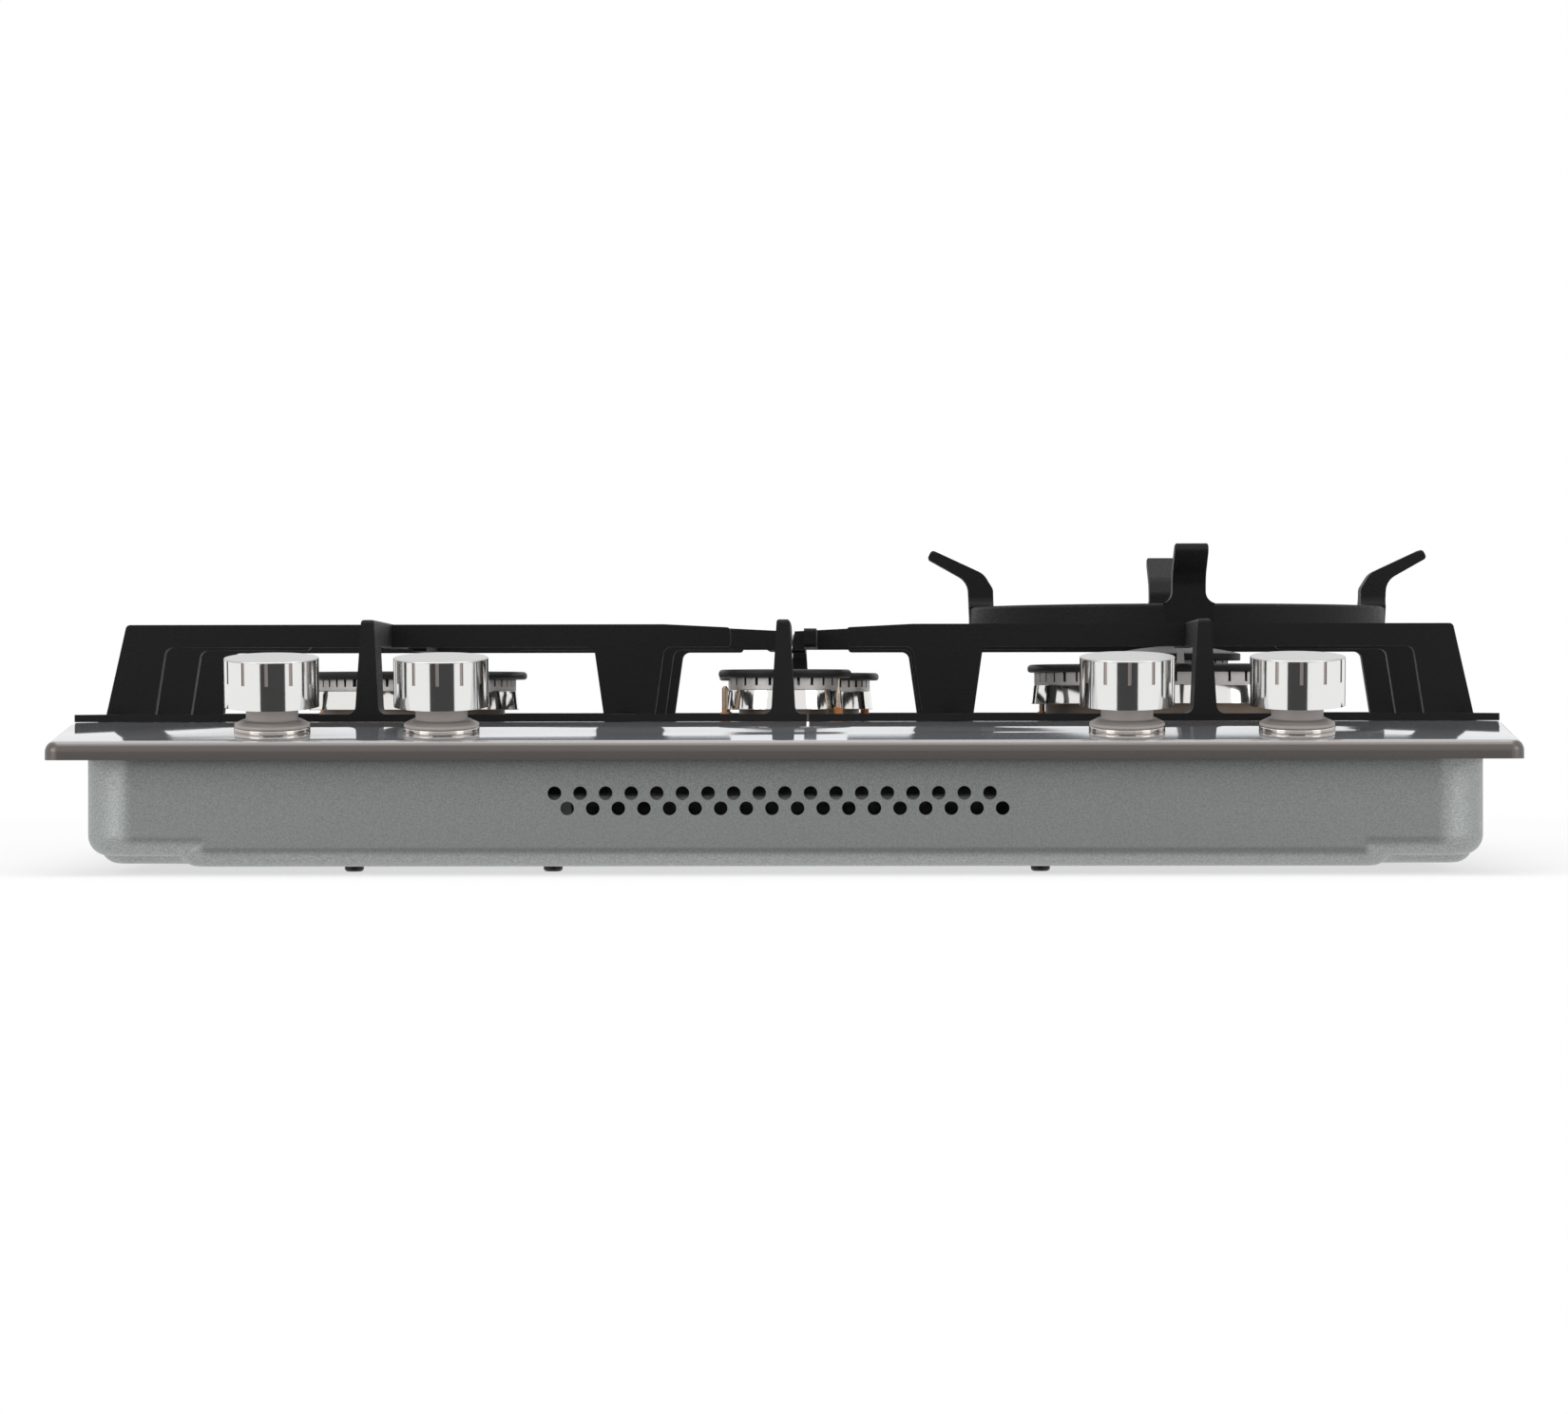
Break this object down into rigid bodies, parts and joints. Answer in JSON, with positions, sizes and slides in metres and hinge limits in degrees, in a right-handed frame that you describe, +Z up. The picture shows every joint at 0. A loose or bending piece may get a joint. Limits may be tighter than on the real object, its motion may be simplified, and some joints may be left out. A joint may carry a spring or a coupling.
{
  "type": "gas cooktop",
  "caption": "Built-in gas cooktop with front knobs, cast pan supports over its burners and a wok ring on the largest one.",
  "frame": {"origin": "middle of the footprint, at the height of the screw heads under the case", "axes": "+X to the user's right, +Y to the back, +Z up"},
  "size_m": [0.58, 0.51, 0.1351],
  "materials": {
    "plate_steel": "polished stainless sheet",
    "foam_tape": "closed-cell foam",
    "galvanised_steel": "galvanised, fine spangle",
    "blackened_screws": "blackened",
    "rail_steel": "zinc plated",
    "brass": "turned",
    "cast_aluminium": "die cast",
    "pipe_aluminium": "drawn",
    "black_plastic": "matt",
    "white_plastic": "matt",
    "seal_silicone": "translucent silicone",
    "polished_ring": "polished",
    "knob_metal": "polished skirt, spun top",
    "bright_steel": "ground",
    "spring_steel": "bright wire",
    "cup_chrome": "polished",
    "ring_aluminium": "satin cast",
    "cap_enamel": "satin black enamel",
    "electrode_ceramic": "glazed ceramic",
    "thermocouple_metal": "heat tinted",
    "black_rubber": "moulded",
    "cast_iron": "matt black enamelled casting"
  },
  "bodies": {
    "cooktop": {"auxiliary_burner_cup": "cup_chrome", "auxiliary_gas_pipe": "pipe_aluminium", "bottom_case": "galvanised_steel", "burner_brackets": "galvanised_steel", "burner_jets": "brass", "case_screws": "blackened_screws", "gas_inlet": "brass", "gas_rail": "rail_steel", "ignition_switches": "black_plastic", "knob_bezels": "polished_ring", "knob_seals": "seal_silicone", "mains_grommet": "black_rubber", "rail_saddles": "cast_aluminium", "rapid_burner_cup": "cup_chrome", "rapid_gas_pipe": "pipe_aluminium", "rim_seal": "foam_tape", "semi_rapid_burner_cup": "cup_chrome", "semi_rapid_gas_pipe": "pipe_aluminium", "spark_electrodes": "electrode_ceramic", "spark_module": "white_plastic", "tap_body_1": "cast_aluminium", "tap_body_2": "cast_aluminium", "tap_body_3": "cast_aluminium", "tap_body_4": "cast_aluminium", "thermocouples": "thermocouple_metal", "top_plate": "plate_steel", "valve_spring_1": "spring_steel", "valve_spring_2": "spring_steel", "valve_spring_3": "spring_steel", "valve_spring_4": "spring_steel", "wok_burner_cup": "cup_chrome", "wok_gas_pipe": "pipe_aluminium"},
    "valve_rod_1_body": {"valve_rod_1": "bright_steel"},
    "knob_1_body": {"knob_1": "knob_metal", "spindle_1": "brass"},
    "valve_rod_2_body": {"valve_rod_2": "bright_steel"},
    "knob_2_body": {"knob_2": "knob_metal", "spindle_2": "brass"},
    "valve_rod_3_body": {"valve_rod_3": "bright_steel"},
    "knob_3_body": {"knob_3": "knob_metal", "spindle_3": "brass"},
    "valve_rod_4_body": {"valve_rod_4": "bright_steel"},
    "knob_4_body": {"knob_4": "knob_metal", "spindle_4": "brass"},
    "left_support_body": {"left_pan_support": "cast_iron", "left_support_feet": "black_rubber"},
    "right_support_body": {"right_pan_support": "cast_iron", "right_support_feet": "black_rubber"},
    "wok_stand_body": {"wok_ring": "cast_iron"},
    "rapid_ring_body": {"rapid_burner_ring": "ring_aluminium"},
    "auxiliary_ring_body": {"auxiliary_burner_ring": "ring_aluminium"},
    "semi_rapid_ring_body": {"semi_rapid_burner_ring": "ring_aluminium"},
    "wok_ring_body": {"wok_burner_ring": "ring_aluminium"},
    "rapid_cap_body": {"rapid_burner_cap": "cap_enamel"},
    "auxiliary_cap_body": {"auxiliary_burner_cap": "cap_enamel"},
    "semi_rapid_cap_body": {"semi_rapid_burner_cap": "cap_enamel"},
    "wok_outer_cap_body": {"wok_outer_cap": "cap_enamel"},
    "wok_centre_cap_body": {"wok_centre_cap": "cap_enamel"}
  },
  "joints": [
    {"name": "knob_1_push", "type": "slide", "parent": "cooktop", "child": "valve_rod_1_body", "axis": [0, 0.1185, -0.993], "range_m": [0, 0.003], "stiffness_N_per_m": 1500, "springref_m": -0.002, "deforming": ["valve_spring_1"]},
    {"name": "knob_1_turn", "type": "hinge", "parent": "valve_rod_1_body", "child": "knob_1_body", "pos_m": [-0.2038, -0.22, 0.05678], "axis": [0, -0.1185, 0.993], "range_deg": [0, 210]},
    {"name": "knob_2_push", "type": "slide", "parent": "cooktop", "child": "valve_rod_2_body", "axis": [0, 0.1185, -0.993], "range_m": [0, 0.003], "stiffness_N_per_m": 1500, "springref_m": -0.002, "deforming": ["valve_spring_2"]},
    {"name": "knob_2_turn", "type": "hinge", "parent": "valve_rod_2_body", "child": "knob_2_body", "pos_m": [-0.1363, -0.22, 0.05678], "axis": [0, -0.1185, 0.993], "range_deg": [0, 210]},
    {"name": "knob_3_push", "type": "slide", "parent": "cooktop", "child": "valve_rod_3_body", "axis": [0, 0.1185, -0.993], "range_m": [0, 0.003], "stiffness_N_per_m": 1500, "springref_m": -0.002, "deforming": ["valve_spring_3"]},
    {"name": "knob_3_turn", "type": "hinge", "parent": "valve_rod_3_body", "child": "knob_3_body", "pos_m": [0.1363, -0.22, 0.05678], "axis": [0, -0.1185, 0.993], "range_deg": [0, 210]},
    {"name": "knob_4_push", "type": "slide", "parent": "cooktop", "child": "valve_rod_4_body", "axis": [0, 0.1185, -0.993], "range_m": [0, 0.003], "stiffness_N_per_m": 1500, "springref_m": -0.002, "deforming": ["valve_spring_4"]},
    {"name": "knob_4_turn", "type": "hinge", "parent": "valve_rod_4_body", "child": "knob_4_body", "pos_m": [0.2038, -0.22, 0.05678], "axis": [0, -0.1185, 0.993], "range_deg": [0, 210]},
    {"name": "left_support_lift", "type": "slide", "parent": "cooktop", "child": "left_support_body", "axis": [0, 0, 1], "range_m": [0, 0.06]},
    {"name": "right_support_lift", "type": "slide", "parent": "cooktop", "child": "right_support_body", "axis": [0, 0, 1], "range_m": [0, 0.06]},
    {"name": "wok_stand_lift", "type": "slide", "parent": "right_support_body", "child": "wok_stand_body", "axis": [0, 0, 1], "range_m": [0, 0.05]},
    {"name": "rapid_burner_ring_lift", "type": "slide", "parent": "cooktop", "child": "rapid_ring_body", "axis": [0, 0, 1], "range_m": [0, 0.008]},
    {"name": "auxiliary_burner_ring_lift", "type": "slide", "parent": "cooktop", "child": "auxiliary_ring_body", "axis": [0, 0, 1], "range_m": [0, 0.008]},
    {"name": "semi_rapid_burner_ring_lift", "type": "slide", "parent": "cooktop", "child": "semi_rapid_ring_body", "axis": [0, 0, 1], "range_m": [0, 0.008]},
    {"name": "wok_burner_ring_lift", "type": "slide", "parent": "cooktop", "child": "wok_ring_body", "axis": [0, 0, 1], "range_m": [0, 0.006]},
    {"name": "rapid_cap_lift", "type": "slide", "parent": "rapid_ring_body", "child": "rapid_cap_body", "axis": [0, 0, 1], "range_m": [0, 0.008]},
    {"name": "auxiliary_cap_lift", "type": "slide", "parent": "auxiliary_ring_body", "child": "auxiliary_cap_body", "axis": [0, 0, 1], "range_m": [0, 0.008]},
    {"name": "semi_rapid_cap_lift", "type": "slide", "parent": "semi_rapid_ring_body", "child": "semi_rapid_cap_body", "axis": [0, 0, 1], "range_m": [0, 0.008]},
    {"name": "wok_outer_cap_lift", "type": "slide", "parent": "wok_ring_body", "child": "wok_outer_cap_body", "axis": [0, 0, 1], "range_m": [0, 0.006]},
    {"name": "wok_centre_cap_lift", "type": "slide", "parent": "wok_ring_body", "child": "wok_centre_cap_body", "axis": [0, 0, 1], "range_m": [0, 0.03]}
  ]
}
